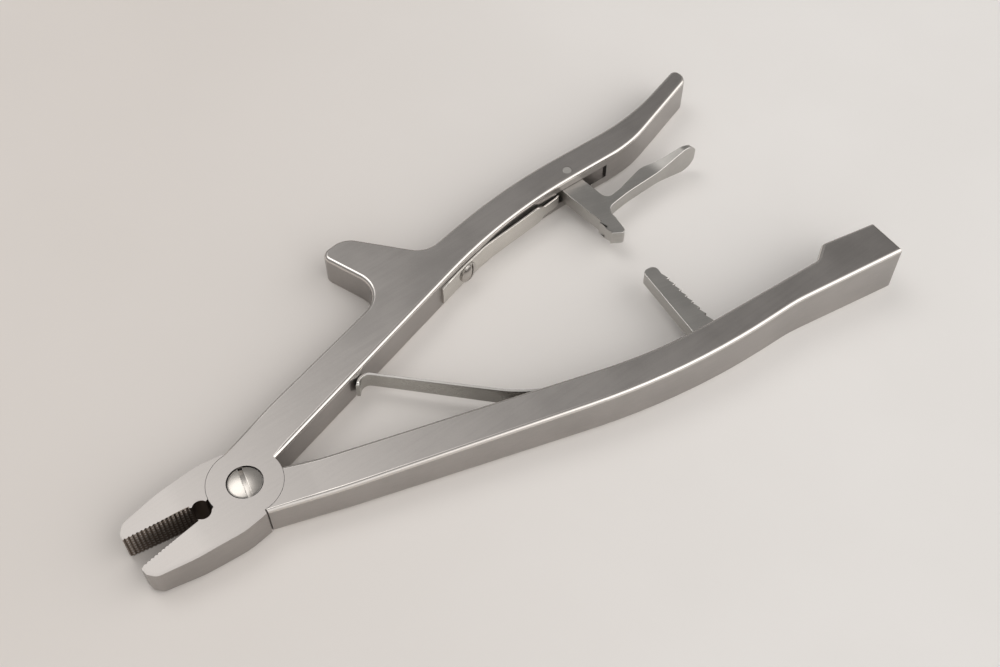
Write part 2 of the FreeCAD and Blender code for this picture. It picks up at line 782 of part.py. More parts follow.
# Return spring: flat on the block lever, then across the gap to a curl on the spur lever's face.
thickness = size("return_spring_thickness")
lift = thickness / 2 + size("seat_gap")
contact, along, outward = face_at(spur_outline, size("return_contact_x"))
opened = FreeCAD.Rotation(Vector(0, 0, 1), size("opening_angle"))
contact = opened.multVec(contact)
outward = opened.multVec(outward)
curl = size("return_curl_radius")
centre = contact + outward * (size("contact_gap") + curl + thickness / 2)
ends = []
for station in (size("return_spring_end_x"), size("return_spring_bend_x")):
    ends.append(face_place(block_outline, -1, station, lift).Base)
reach = centre - ends[1]
heading = math.atan2(reach.y, reach.x) - math.asin(curl / math.hypot(reach.x, reach.y))
turn = math.radians(size("return_curl_turn"))
bisector = heading - math.pi / 2 + turn / 2
corner = Vector(math.cos(bisector), math.sin(bisector), 0) * (curl / math.cos(turn / 2)) + centre
tail = Vector(math.cos(heading + turn), math.sin(heading + turn), 0) * size("return_curl_tail") + corner
return_line = [
    (ends[0].x, ends[0].y, 0),
    (ends[1].x, ends[1].y, size("return_spring_bend_radius")),
    (corner.x, corner.y, curl),
    (tail.x, tail.y, 0),
]
return_spring = new_body("return_spring")
profile = new_sketch(return_spring, "return_spring_profile", "XY_Plane", "Sizes.joint_thickness / 2")
draw(profile, band(return_line, thickness))
pad(return_spring, "return_spring_blank", profile, "2 * Sizes.return_spring_width")
tip_half = size("return_spring_tip_width") / 2
root_half = size("return_spring_width") / 2
blend = size("return_spring_blend_radius")
trim_sides(return_spring, "return_spring", [
    (tail.x - size("return_spring_width"), tip_half, 0),
    (tail.x + size("return_spring_tip_run"), tip_half, blend),
    (size("return_spring_bend_x"), root_half, blend),
    (size("return_spring_end_x") + size("return_spring_width"), root_half, 0),
])
seat = face_place(block_outline, -1, size("return_screw_x"), -margin)
bore(return_spring, "return_spring_hole", seat,
     "Sizes.spring_screw_radius + Sizes.spring_hole_clearance",
     "Sizes.return_spring_thickness + %f" % (2 * margin))

# Return spring screw
return_spring_screw, return_screw_place = make_spring_screw(
    "return_spring_screw", block_outline, -1, size("return_screw_x"), thickness,
    size("return_screw_slot_angle"),
)

# Ratchet bar: a toothed blade, wider at its foot, with saw teeth that face the foot.
tip_right = size("pin_x") - size("bar_tip_ahead")
tip_top = size("pin_y") - size("bar_tip_below")
first_tooth = size("pin_y") - size("bar_first_tooth_below")
teeth = int(size("bar_teeth"))
pitch = size("tooth_pitch")
tooth = size("tooth_depth")
last_tooth = first_tooth - teeth * pitch


def bar_crest(y):
    return tip_right + (bar_right - tip_right) * (first_tooth - y) / (first_tooth - last_tooth)


blade = [
    (bar_left, tip_top, size("bar_tip_radius")),
    (bar_left, bar_foot, size("bar_foot_bevel")),
    (bar_right, bar_foot, size("bar_foot_bevel")),
    (bar_right, last_tooth, 0),
]
for number in range(teeth, 0, -1):
    low = first_tooth - number * pitch
    high = low + pitch
    if number < teeth:
        blade.append((bar_crest(low), low, 0))
    blade.append((bar_crest(high) - tooth, high, 0))
blade.append((tip_right - tooth / 2, tip_top, size("bar_tip_radius")))
ratchet_bar = new_body("ratchet_bar")
profile = new_sketch(ratchet_bar, "ratchet_bar_profile", "XY_Plane", "Sizes.joint_thickness / 2")
draw(profile, blade)
pad(ratchet_bar, "ratchet_bar_blank", profile, "Sizes.bar_thickness")

# Pawl: an eye and heel on the pin, an arm whose end is toothed, and a flared thumb lever.
px = size("pin_x")
py = size("pin_y")
tip_y = py - size("pawl_tip_drop")
neck_y = py - size("pawl_neck_drop")
neck_x = px - size("pawl_neck")
tip_root_x = px - size("pawl_tip") + tooth


def pawl_root(y):
    return neck_x + (tip_root_x - neck_x) * (neck_y - y) / (neck_y - tip_y)


lever_low = py - size("pawl_lever_drop")
lever_high = lever_low + size("pawl_lever_thickness")
lever_end = px + size("pawl_lever_length")
paddle_low = lever_low - size("paddle_drop")
end_y = py - size("pawl_end_drop")
heel_high = py + size("pawl_eye") - size("pawl_heel_lean")
heel_low = heel_high - size("pawl_heel_thickness")
shape = [
    (px - size("pawl_heel"), heel_low, size("pawl_arm_radius")),
    (px - size("pawl_arm_ahead"), heel_low, size("pawl_arm_radius")),
]
for number in range(int(size("pawl_teeth")) - 1, -1, -1):
    y = tip_y + number * pitch
    shape.append((pawl_root(y), y, 0))
    shape.append((pawl_root(y) - tooth, y, size("pawl_tooth_radius")))
shape += [
    (px - size("pawl_tip") + size("pawl_end_slant"), end_y, size("pawl_end_radius")),
    (px - size("pawl_back"), end_y + size("pawl_back_rise"), size("pawl_back_radius")),
    (px - size("pawl_waist"), tip_y + size("pawl_waist_rise"), size("pawl_waist_radius")),
    (px - size("pawl_fork"), lever_low, size("pawl_fork_radius")),
    (px + size("paddle_low_bend"), lever_low, size("paddle_low_radius")),
    (lever_end, paddle_low, size("paddle_edge_radius")),
    (lever_end, paddle_low + size("paddle_thickness"), size("paddle_edge_radius")),
    (px + size("paddle_hollow"), lever_high - size("paddle_hollow_drop"), size("paddle_hollow_radius")),
    (px + size("paddle_crest"), lever_high + size("paddle_crest_rise"), size("paddle_crest_radius")),
    (px + size("paddle_foot_bend"), lever_high, size("paddle_foot_radius")),
    (px + size("pawl_crook"), lever_high, size("pawl_crook_radius")),
    (px + size("pawl_eye"), py - size("pawl_eye"), size("pawl_eye_foot_radius")),
    (px + size("pawl_eye"), py + size("pawl_eye"), size("pawl_eye_radius")),
    (px - size("pawl_heel") - size("pawl_heel_lean"), heel_high, size("pawl_heel_radius")),
]
pawl = new_body("pawl")
profile = new_sketch(pawl, "pawl_profile", "XY_Plane", "Sizes.joint_thickness / 2")
draw(profile, shape)
pad(pawl, "pawl_blank", profile, "Sizes.paddle_height")
arm_half = size("pawl_thickness") / 2
paddle_half = size("paddle_height") / 2
blend = size("paddle_blend_radius")
trim_sides(pawl, "pawl", [
    (px - size("pawl_lever_length"), arm_half, 0),
    (px + size("paddle_start"), arm_half, blend),
    (lever_end - size("paddle_corner_back"), paddle_half, size("paddle_corner_radius")),
    (lever_end, size("paddle_end_flat") / 2, 0),
    (lever_end + margin, size("paddle_end_flat") / 2, 0),
])
bore(pawl, "pawl_bore", pin_line, "Sizes.pin_radius + Sizes.pin_clearance", "3 * Sizes.joint_thickness")

# Pawl pin, a little below the spur lever's faces.
pawl_pin = new_body("pawl_pin")
profile = new_sketch(pawl_pin, "pawl_pin_profile", "XY_Plane", "Sizes.joint_thickness / 2")
draw_circle(profile, "Sizes.pin_x", "Sizes.pin_y", "Sizes.pin_radius")
share = "(Sizes.pin_x - Sizes.handle_taper_start) / (Sizes.spur_length - Sizes.handle_taper_start)"
growth = "(Sizes.spur_end_thickness - Sizes.joint_thickness)"
pad(pawl_pin, "pawl_pin_blank", profile,
    "Sizes.joint_thickness + %s * %s - 2 * Sizes.pin_recess" % (growth, share))

# Pawl spring: a strip along the spur lever, with a tongue that lifts under the pawl's heel.
thickness = size("pawl_spring_thickness")
lift = thickness / 2 + size("seat_gap")
start, first_run, outward = face_at(spur_outline, size("pawl_spring_start_x"))
start += outward * lift
leave, last_run, outward = face_at(spur_outline, size("pawl_spring_leave_x"))
leave += outward * lift
turn = first_run.getAngle(last_run)
pawl_line = [(start.x, start.y, 0)]
if turn > 0.001:
    crown = start + first_run * ((leave - start).cross(last_run).z / first_run.cross(last_run).z)
    pawl_line.append((crown.x, crown.y, (leave - crown).Length / math.tan(turn / 2)))
bend = leave + last_run * size("pawl_spring_bend")
hook = Vector(px - size("pawl_hook"), py - size("pawl_hook_drop"), 0)
hook_tip = Vector(px - size("pawl_hook_tip"), heel_low - size("contact_gap"), 0)
lean = (hook_tip - hook).normalize().x
hook_tip.y -= thickness / 2 * lean
pawl_line += [
    (bend.x, bend.y, size("pawl_spring_bend_radius")),
    (hook.x, hook.y, size("pawl_hook_radius")),
    (hook_tip.x, hook_tip.y, 0),
]
pawl_spring = new_body("pawl_spring")
profile = new_sketch(pawl_spring, "pawl_spring_profile", "XY_Plane", "Sizes.joint_thickness / 2")
draw(profile, band(pawl_line, thickness))
pad(pawl_spring, "pawl_spring_blank", profile, "2 * Sizes.pawl_spring_width")
strip_half = size("pawl_spring_width") / 2
tongue_half = size("pawl_spring_tongue_width") / 2
strip_neck = px - size("pawl_spring_neck")
neck_radius = size("pawl_spring_neck_radius")
trim_sides(pawl_spring, "pawl_spring", [
    (size("pawl_spring_start_x") - size("pawl_spring_width"), strip_half, 0),
    (strip_neck, strip_half, neck_radius),
    (strip_neck + size("pawl_spring_taper"), tongue_half, neck_radius),
    (px + size("pawl_spring_width"), tongue_half, 0),
])
seat = face_place(spur_outline, 1, size("pawl_screw_x"), -margin)
bore(pawl_spring, "pawl_spring_hole", seat,
     "Sizes.spring_screw_radius + Sizes.spring_hole_clearance",
     "Sizes.pawl_spring_thickness + %f" % (2 * margin))

# Pawl spring screw
pawl_spring_screw, pawl_screw_place = make_spring_screw(
    "pawl_spring_screw", spur_outline, 1, size("pawl_screw_x"), thickness,
    size("pawl_screw_slot_angle"),
)

# Each lever is turned open, and carries what is fixed to it.
for body in (spur_lever, pawl, pawl_pin, pawl_spring):
    body.Placement = spur_place
for body in (block_lever, return_spring, ratchet_bar):
    body.Placement = block_place
pawl_spring_screw.Placement = spur_place.multiply(pawl_screw_place)
return_spring_screw.Placement = block_place.multiply(return_screw_place)

doc.recompute()
nodes = [
    spur_lever, block_lever, pivot_screw, return_spring, return_spring_screw,
    ratchet_bar, pawl, pawl_pin, pawl_spring, pawl_spring_screw,
]
for item in doc.Objects:
    if "Invalid" in item.State or "Error" in item.State:
        raise RuntimeError("%s could not be made" % item.Name)
for body in nodes:
    if body.Shape.isNull() or not body.Shape.isValid() or len(body.Shape.Solids) != 1:
        raise RuntimeError("%s isn't one valid solid" % body.Label)
os.makedirs("parts", exist_ok=True)
for body in nodes:
    body.Shape.exportStep("parts/%s.step" % body.Label)
    print("%s: %.0f mm3" % (body.Label, body.Shape.Volume))
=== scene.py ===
import math

import bmesh
import bpy
from mathutils import Matrix, Vector


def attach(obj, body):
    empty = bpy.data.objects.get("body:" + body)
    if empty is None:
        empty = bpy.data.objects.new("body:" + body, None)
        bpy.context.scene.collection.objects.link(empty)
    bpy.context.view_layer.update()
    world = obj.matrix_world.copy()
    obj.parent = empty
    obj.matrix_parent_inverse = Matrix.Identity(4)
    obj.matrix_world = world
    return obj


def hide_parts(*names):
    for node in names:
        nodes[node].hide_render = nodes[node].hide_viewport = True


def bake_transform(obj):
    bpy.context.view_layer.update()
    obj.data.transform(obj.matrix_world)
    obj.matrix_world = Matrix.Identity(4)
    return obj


# Pin extraction forceps: satin stainless levers with polished edges, two leaf springs,
# three slotted screws, a toothed bar and a sprung pawl, lying open on a pale table.

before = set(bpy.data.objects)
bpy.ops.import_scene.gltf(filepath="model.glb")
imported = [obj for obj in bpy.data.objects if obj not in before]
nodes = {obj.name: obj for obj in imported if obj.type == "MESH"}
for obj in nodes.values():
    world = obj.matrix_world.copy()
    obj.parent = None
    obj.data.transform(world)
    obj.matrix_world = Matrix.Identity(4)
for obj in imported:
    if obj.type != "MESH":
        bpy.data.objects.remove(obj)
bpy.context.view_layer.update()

mm = 0.001
scene = bpy.context.scene
scene.view_settings.view_transform = "Standard"


# Camera and light

photo = {
    "place": (-48.98 * mm, -172.66 * mm, 298.8 * mm),
    "heading": math.radians(37.9),    # turned from +Y towards +X
    "dip": math.radians(53.2),
    "lens": 45.0,
    "sensor": 36.0,
    "clip": (0.01, 20.0),
}


def aim(direction):
    return direction.to_track_quat("-Z", "Y").to_euler()


def heading(azimuth, elevation):
    # The way towards a point of the room: right of the camera's heading, and up.
    turn = photo["heading"] + azimuth
    return Vector((
        math.sin(turn) * math.cos(elevation),
        math.cos(turn) * math.cos(elevation),
        math.sin(elevation),
    ))


def placeCamera():
    data = bpy.data.cameras.new("photoCamera")
    data.lens = photo["lens"]
    data.sensor_width = photo["sensor"]
    data.clip_start, data.clip_end = photo["clip"]
    camera = bpy.data.objects.new("photoCamera", data)
    camera.location = photo["place"]
    camera.rotation_euler = aim(heading(0, -photo["dip"]))
    scene.collection.objects.link(camera)
    scene.camera = camera
    print("camera placed")


placeCamera()

lamp = {
    "target": (75 * mm, 0, 5 * mm),
    "azimuth": math.radians(-50),
    "elevation": math.radians(62),
    "distance": 1.2,
    "size": 0.62,
    "power": 1.2,
    "colour": (1.0, 0.98, 0.955),
}


def placeLamp():
    away = heading(lamp["azimuth"], lamp["elevation"])
    data = bpy.data.lights.new("overhead", "AREA")
    data.shape = "DISK"
    data.size = lamp["size"]
    data.energy = lamp["power"]
    data.color = lamp["colour"]
    overhead = bpy.data.objects.new("overhead", data)
    overhead.location = Vector(lamp["target"]) + away * lamp["distance"]
    overhead.rotation_euler = aim(-away)
    scene.collection.objects.link(overhead)
    print("lamp placed")


placeLamp()

room = {
    "walls": 0.30,
    "tint": (1.0, 0.975, 0.95),
    # soft openings, in degrees: azimuth, elevation, half angles of the full light and of
    # its end; then strength
    "openings": {
        "skylight": (-50, 62, 10, 30, 0.82),
        "rightWindow": (100, 20, 18, 55, 1.6),
        "backWindow": (165, 35, 15, 50, 0.7),
    },
}


def mathNode(tree, kind, first, second, clamp=False):
    node = tree.nodes.new("ShaderNodeMath")
    node.operation = kind
    node.use_clamp = clamp
    for index, value in enumerate((first, second)):
        if isinstance(value, (int, float)):
            node.inputs[index].default_value = value
        else:
            tree.links.new(value, node.inputs[index])
    return node.outputs[0]


def rangeNode(tree, value, low, high, start=0.0, end=1.0, smooth=True):
    node = tree.nodes.new("ShaderNodeMapRange")
    node.interpolation_type = "SMOOTHSTEP" if smooth else "LINEAR"
    tree.links.new(value, node.inputs["Value"])
    ends = {"From Min": low, "From Max": high, "To Min": start, "To Max": end}
    for socket, number in ends.items():
        if isinstance(number, (int, float)):
            node.inputs[socket].default_value = number
        else:
            tree.links.new(number, node.inputs[socket])
    return node.outputs["Result"]


def mixColour(tree, factor, first, second):
    node = tree.nodes.new("ShaderNodeMix")
    node.data_type = "RGBA"
    tree.links.new(factor, node.inputs[0])
    for index, value in ((6, first), (7, second)):
        if isinstance(value, tuple):
            node.inputs[index].default_value = (*value, 1.0)
        else:
            tree.links.new(value, node.inputs[index])
    return node.outputs[2]


def mixNumber(tree, factor, first, second):
    node = tree.nodes.new("ShaderNodeMix")
    tree.links.new(factor, node.inputs[0])
    tree.links.new(first, node.inputs[2])
    node.inputs[3].default_value = second
    return node.outputs[0]


def lightRoom():
    world = bpy.data.worlds.new("room")
    scene.world = world
    world.use_nodes = True
    tree = world.node_tree
    tree.nodes.clear()
    out = tree.nodes.new("ShaderNodeOutputWorld")
    back = tree.nodes.new("ShaderNodeBackground")
    coords = tree.nodes.new("ShaderNodeTexCoord")

    total = room["walls"]
    for azimuth, elevation, full, end, strength in room["openings"].values():
        facing = tree.nodes.new("ShaderNodeVectorMath")
        facing.operation = "DOT_PRODUCT"
        tree.links.new(coords.outputs["Generated"], facing.inputs[0])
        facing.inputs[1].default_value = heading(math.radians(azimuth), math.radians(elevation))
        glow = rangeNode(
            tree, facing.outputs["Value"],
            math.cos(math.radians(end)), math.cos(math.radians(full)), 0.0, strength,
        )
        total = mathNode(tree, "ADD", glow, total)
    back.inputs["Color"].default_value = (*room["tint"], 1.0)
    tree.links.new(total, back.inputs["Strength"])
    tree.links.new(back.outputs[0], out.inputs["Surface"])
    print("room lit")


lightRoom()


# Shared effects, as node groups

def newGroup(name, inputs, outputs):
    tree = bpy.data.node_groups.new(name, "ShaderNodeTree")
    for label, kind, value in inputs:
        socket = tree.interface.new_socket(name=label, in_out="INPUT", socket_type=kind)
        socket.default_value = value
    for label, kind in outputs:
        tree.interface.new_socket(name=label, in_out="OUTPUT", socket_type=kind)
    return tree, tree.nodes.new("NodeGroupInput"), tree.nodes.new("NodeGroupOutput")


def noiseNode(tree, vector, scale, detail, roughness):
    node = tree.nodes.new("ShaderNodeTexNoise")
    tree.links.new(vector, node.inputs["Vector"])
    if isinstance(scale, (int, float)):
        node.inputs["Scale"].default_value = scale
    else:
        tree.links.new(scale, node.inputs["Scale"])
    node.inputs["Detail"].default_value = detail
    node.inputs["Roughness"].default_value = roughness
    return node.outputs[0]


grainLook = {
    "grainDetail": (2.0, 0.6),       # octaves and roughness of each noise
    "strokeDetail": (3.0, 0.6),
    "strokeStretch": 0.035,          # the strokes' pattern runs this much slower lengthwise
    "cloudScale": 55.0,
    "cloudDetail": (3.0, 0.55),
    "toneShares": {"cloud": 0.5, "grain": 0.25, "stroke": 0.25},
}


def makeBlasted():
    # Fine even grain of a blasted finish, with faint long strokes from the grinding under it.
    tree, start, end = newGroup(
        "blastedGrain",
        [
            ("Grain Scale", "NodeSocketFloat", 3000.0),
            ("Stroke Scale", "NodeSocketFloat", 900.0),
            ("Turn", "NodeSocketFloat", 0.0),
            ("Stroke", "NodeSocketFloat", 0.3),
        ],
        [("Height", "NodeSocketFloat"), ("Tone", "NodeSocketFloat")],
    )
    coords = tree.nodes.new("ShaderNodeTexCoord")
    scale = start.outputs["Grain Scale"]
    grain = noiseNode(tree, coords.outputs["Object"], scale, *grainLook["grainDetail"])
    turn = tree.nodes.new("ShaderNodeVectorRotate")
    turn.rotation_type = "Z_AXIS"
    tree.links.new(coords.outputs["Object"], turn.inputs["Vector"])
    tree.links.new(start.outputs["Turn"], turn.inputs["Angle"])
    stretch = tree.nodes.new("ShaderNodeVectorMath")
    stretch.operation = "MULTIPLY"
    stretch.inputs[1].default_value = (grainLook["strokeStretch"], 1.0, 1.0)
    tree.links.new(turn.outputs[0], stretch.inputs[0])
    scale = start.outputs["Stroke Scale"]
    stroke = noiseNode(tree, stretch.outputs[0], scale, *grainLook["strokeDetail"])
    scale = grainLook["cloudScale"]
    cloud = noiseNode(tree, coords.outputs["Object"], scale, *grainLook["cloudDetail"])
    strokes = mathNode(tree, "MULTIPLY", stroke, start.outputs["Stroke"])
    height = mathNode(tree, "ADD", grain, strokes)
    shares = grainLook["toneShares"]
    cloudPart = mathNode(tree, "MULTIPLY", cloud, shares["cloud"])
    grainPart = mathNode(tree, "MULTIPLY", grain, shares["grain"])
    strokePart = mathNode(tree, "MULTIPLY", stroke, shares["stroke"])
    tone = mathNode(tree, "ADD", mathNode(tree, "ADD", cloudPart, grainPart), strokePart)
    tree.links.new(height, end.inputs["Height"])
    tree.links.new(tone, end.inputs["Tone"])
    return tree


wearLook = {
    "breakScale": 260.0,
    "breakDetail": (3.0, 0.6),
    "break": 0.3,
}


def makeEdgeWearAndSheen():
    # How much of the polish the edges keep: full on a bevelled face, broken up by handling.
    # The kept polish is painted lighter: real polish, and partly a painted sheen.
    tree, start, end = newGroup(
        "edgeWearAndSheen",
        [
            ("Break Scale", "NodeSocketFloat", wearLook["breakScale"]),
            ("Break", "NodeSocketFloat", wearLook["break"]),
        ],
        [("Mask", "NodeSocketFloat")],
    )
    coords = tree.nodes.new("ShaderNodeTexCoord")
    edge = tree.nodes.new("ShaderNodeAttribute")
    edge.attribute_name = "edgeFace"
    scale = start.outputs["Break Scale"]
    noise = noiseNode(tree, coords.outputs["Object"], scale, *wearLook["breakDetail"])
    broken = mathNode(tree, "MULTIPLY", noise, start.outputs["Break"])
    kept = mathNode(tree, "SUBTRACT", 1.0, broken)
    mask = mathNode(tree, "MULTIPLY", edge.outputs["Fac"], kept)
    tree.links.new(mask, end.inputs["Mask"])
    return tree


toothLook = {
    # values of the cavity attribute, which is 0 off the teeth, "tip" on their tips and 1 at
    # the bottom of their grooves
    "off": 0.05,
    "tip": 0.2,
    # the painted glint on the tips fades out by this value
    "glintEnd": 0.5,
    "floor": 0.85,
    "paintedGlintColour": (0.95, 0.91, 0.86),
    "glintRoughness": 0.5,
    # painted shade in the grooves and the throat
    "paintedGrooveShade": (0.16, 0.125, 0.10),
}


def makePaintedToothLight():
    # Gripping teeth: painted shade at the bottom of their grooves and round the throat,
    # and a painted glint on their tips.
    tree, start, end = newGroup(
        "paintedToothShadeAndGlint",
        [
            ("Tip", "NodeSocketFloat", toothLook["tip"]),
            ("Floor", "NodeSocketFloat", toothLook["floor"]),
        ],
        [("Painted Groove Shade", "NodeSocketFloat"), ("Painted Tip Glint", "NodeSocketFloat")],
    )
    cavity = tree.nodes.new("ShaderNodeAttribute")
    cavity.attribute_name = "cavity"
    depth = cavity.outputs["Fac"]
    groove = rangeNode(tree, depth, start.outputs["Tip"], start.outputs["Floor"], smooth=False)
    rise = rangeNode(tree, depth, toothLook["off"], start.outputs["Tip"])
    fall = rangeNode(tree, depth, start.outputs["Tip"], toothLook["glintEnd"], 1.0, 0.0)
    tree.links.new(groove, end.inputs["Painted Groove Shade"])
    tree.links.new(mathNode(tree, "MULTIPLY", rise, fall), end.inputs["Painted Tip Glint"])
    return tree


groups = {"blasted": makeBlasted(), "wearAndSheen": makeEdgeWearAndSheen(), "cavity": makePaintedToothLight()}


def placeGroup(tree, group, values):
    node = tree.nodes.new("ShaderNodeGroup")
    node.node_tree = group
    for name, value in values.items():
        node.inputs[name].default_value = value
    return node


finishes = {
    # Satin levers: even grain, with edges polished after blasting; the polished edges'
    # lighter colour is partly a painted sheen.
    "leverSteel": {
        "colour": (0.40, 0.380, 0.366), "edgeSheenColour": (0.72, 0.69, 0.66), "toneSpread": 0.08,
        "roughness": 0.35, "edgeRoughness": 0.15, "roughnessSpread": 0.08,
        "bump": 0.10, "bumpDistance": 0.03 * mm,
        "grainScale": 3200.0, "strokeScale": 1200.0, "stroke": 0.30, "turn": 0.0,
    },
    "screwSteel": {
        "colour": (0.51, 0.485, 0.455), "edgeSheenColour": (0.72, 0.70, 0.67), "toneSpread": 0.08,
        "roughness": 0.23, "edgeRoughness": 0.16, "roughnessSpread": 0.06,
        "bump": 0.05, "bumpDistance": 0.02 * mm,
        "grainScale": 3800.0, "strokeScale": 2600.0, "stroke": 0.6, "turn": 0.6,
    },
    "springSteel": {
        "colour": (0.44, 0.43, 0.405), "edgeSheenColour": (0.74, 0.725, 0.70), "toneSpread": 0.08,
        "roughness": 0.26, "edgeRoughness": 0.15, "roughnessSpread": 0.08,
        "bump": 0.06, "bumpDistance": 0.02 * mm,
        "grainScale": 3600.0, "strokeScale": 1600.0, "stroke": 0.8, "turn": 0.0,
    },
    "polishedSpring": {
        "colour": (0.64, 0.62, 0.585), "edgeSheenColour": (0.80, 0.78, 0.74), "toneSpread": 0.07,
        "roughness": 0.22, "edgeRoughness": 0.14, "roughnessSpread": 0.07,
        "bump": 0.05, "bumpDistance": 0.02 * mm,
        "grainScale": 3600.0, "strokeScale": 1600.0, "stroke": 0.8, "turn": 0.0,
    },
    "pinSteel": {
        "colour": (0.60, 0.585, 0.56), "edgeSheenColour": (0.60, 0.585, 0.56), "toneSpread": 0.06,
        "roughness": 0.42, "edgeRoughness": 0.3, "roughnessSpread": 0.06,
        "bump": 0.05, "bumpDistance": 0.02 * mm,
        "grainScale": 3600.0, "strokeScale": 1600.0, "stroke": 0.5, "turn": 0.0,
    },
    "ratchetSteel": {
        "colour": (0.47, 0.458, 0.438), "edgeSheenColour": (0.76, 0.745, 0.72), "toneSpread": 0.09,
        "roughness": 0.32, "edgeRoughness": 0.16, "roughnessSpread": 0.08,
        "bump": 0.10, "bumpDistance": 0.03 * mm,
        "grainScale": 3200.0, "strokeScale": 1500.0, "stroke": 0.4, "turn": 0.3,
    },
}


toneRange = (0.35, 0.65)          # of the grain's tone, from the dark to the light colour
roughnessRange = (0.3, 0.7)       # and from the smooth to the rough patches


def makeSteel(name, look):
    material = bpy.data.materials.new(name)
    material.use_nodes = True
    tree = material.node_tree
    tree.nodes.clear()
    out = tree.nodes.new("ShaderNodeOutputMaterial")
    shader = tree.nodes.new("ShaderNodeBsdfPrincipled")
    tree.links.new(shader.outputs[0], out.inputs["Surface"])
    shader.inputs["Metallic"].default_value = 1.0

    grain = placeGroup(tree, groups["blasted"], {
        "Grain Scale": look["grainScale"], "Stroke Scale": look["strokeScale"],
        "Turn": look["turn"], "Stroke": look["stroke"],
    })
    wearAndSheen = placeGroup(tree, groups["wearAndSheen"], {
        "Break Scale": wearLook["breakScale"], "Break": wearLook["break"],
    })
    cavity = placeGroup(tree, groups["cavity"], {
        "Tip": toothLook["tip"], "Floor": toothLook["floor"],
    })

    spread = look["toneSpread"]
    dark = tuple(c * (1 - spread) for c in look["colour"])
    light = tuple(c * (1 + spread) for c in look["colour"])
    tone = rangeNode(tree, grain.outputs["Tone"], *toneRange)
    colour = mixColour(tree, tone, dark, light)
    # Polished edges take the lighter edge colour: real polish, and partly a painted sheen.
    colour = mixColour(tree, wearAndSheen.outputs["Mask"], colour, look["edgeSheenColour"])
    # Painted glint on the teeth's tips, and painted shade in their grooves and the throat.
    colour = mixColour(tree, cavity.outputs["Painted Tip Glint"], colour, toothLook["paintedGlintColour"])
    colour = mixColour(tree, cavity.outputs["Painted Groove Shade"], colour, toothLook["paintedGrooveShade"])
    tree.links.new(colour, shader.inputs["Base Color"])

    half = look["roughnessSpread"] / 2
    rough = rangeNode(
        tree, grain.outputs["Tone"], *roughnessRange,
        look["roughness"] - half, look["roughness"] + half,
    )
    rough = mixNumber(tree, wearAndSheen.outputs["Mask"], rough, look["edgeRoughness"])
    rough = mixNumber(tree, cavity.outputs["Painted Tip Glint"], rough, toothLook["glintRoughness"])
    tree.links.new(rough, shader.inputs["Roughness"])

    bump = tree.nodes.new("ShaderNodeBump")
    bump.inputs["Strength"].default_value = look["bump"]
    bump.inputs["Distance"].default_value = look["bumpDistance"]
    tree.links.new(grain.outputs["Height"], bump.inputs["Height"])
    tree.links.new(bump.outputs[0], shader.inputs["Normal"])
    return material


steels = {name: makeSteel(name, look) for name, look in finishes.items()}
print("finishes made")


# The pieces, dressed from the CAD solids

dressing = {
    # node: body, slot in the record, finish, width of the bevel that its sharp rims get
    "spur_lever": ("spur_side", "lever_steel", "leverSteel", 0),
    "block_lever": ("block_side", "lever_steel", "leverSteel", 0),
    "return_spring": ("block_side", "spring_steel", "springSteel", 0.20 * mm),
    "ratchet_bar": ("block_side", "ratchet_steel", "ratchetSteel", 0.16 * mm),
    "pawl": ("pawl", "ratchet_steel", "ratchetSteel", 0.22 * mm),
    "pawl_pin": ("spur_side", "screw_steel", "pinSteel", 0.10 * mm),
    "pawl_spring": ("spur_side", "spring_steel", "polishedSpring", 0.20 * mm),
}

bending = {
    # node: a body and two points on the spring; only the node's name is read, and that piece
    # stays fixed, attached to no body
    "return_spring": ("spur_side", (80 * mm, -23 * mm, 5.5 * mm), (47 * mm, 7 * mm, 5.5 * mm)),
    "pawl_spring": ("pawl", (114 * mm, 29 * mm, 5.5 * mm), (133 * mm, 33 * mm, 5.5 * mm)),
}

jaws = {
    # places along X are those of the jaws when closed
    "halfOpening": math.radians(8),
    "throatX": -13.05 * mm,
    "throatRadius": 2.6 * mm,
    "toothDepth": 0.42 * mm,
    "toothReach": 0.588 * mm,    # a face nearer to the middle than this is one of the teeth's
    "toothEnd": -15.2 * mm,
    # the levers' edges are crisp up to here, and polished round beyond it
    "crispEnd": {"spur_lever": 9 * mm, "block_lever": -2 * mm},
}

shading = {
    "weld": 0.0005 * mm,
    # faces that meet flatter than this are merged, before a cut
    "flat": {"lever": math.radians(0.3), "piece": math.radians(0.4), "screw": math.radians(0.1)},
    "facet": math.radians(30),       # faces that meet flatter than this are one surface
    # a bevel is a strip that is narrower than this, has a rim longer than this, and meets
    # its neighbours at an angle between these two along so much of that rim
    "bevelWidth": 1.5 * mm,
    "bevelRim": 12 * mm,
    "bevelLow": math.radians(25),
    "bevelHigh": math.radians(65),
    "bevelShare": 0.75,
    "roundWidth": 0.38 * mm,         # both rims of a bevel are cut this much again, to round it
    "bevelNear": 0.42,               # cosine between a bevel's normal and those that shade it
    "rim": math.radians(60),         # edges sharper than this are rims to soften
    "level": 0.9,                    # a level face's normal rises or falls by this or more
    "steep": 0.5,                    # and a steep one's by this or less
}


def surfaces(mesh):
    # Numbers the smooth surfaces of a mesh: faces joined by edges flatter than the facet angle.
    number = {}
    count = 0
    for first in mesh.faces:
        if first in number:
            continue
        number[first] = count
        stack = [first]
        while stack:
            face = stack.pop()
            for edge in face.edges:
                if len(edge.link_faces) != 2 or edge.calc_face_angle(math.pi) > shading["facet"]:
                    continue
                for other in edge.link_faces:
                    if other not in number:
                        number[other] = count
                        stack.append(other)
        count += 1
    return number, count


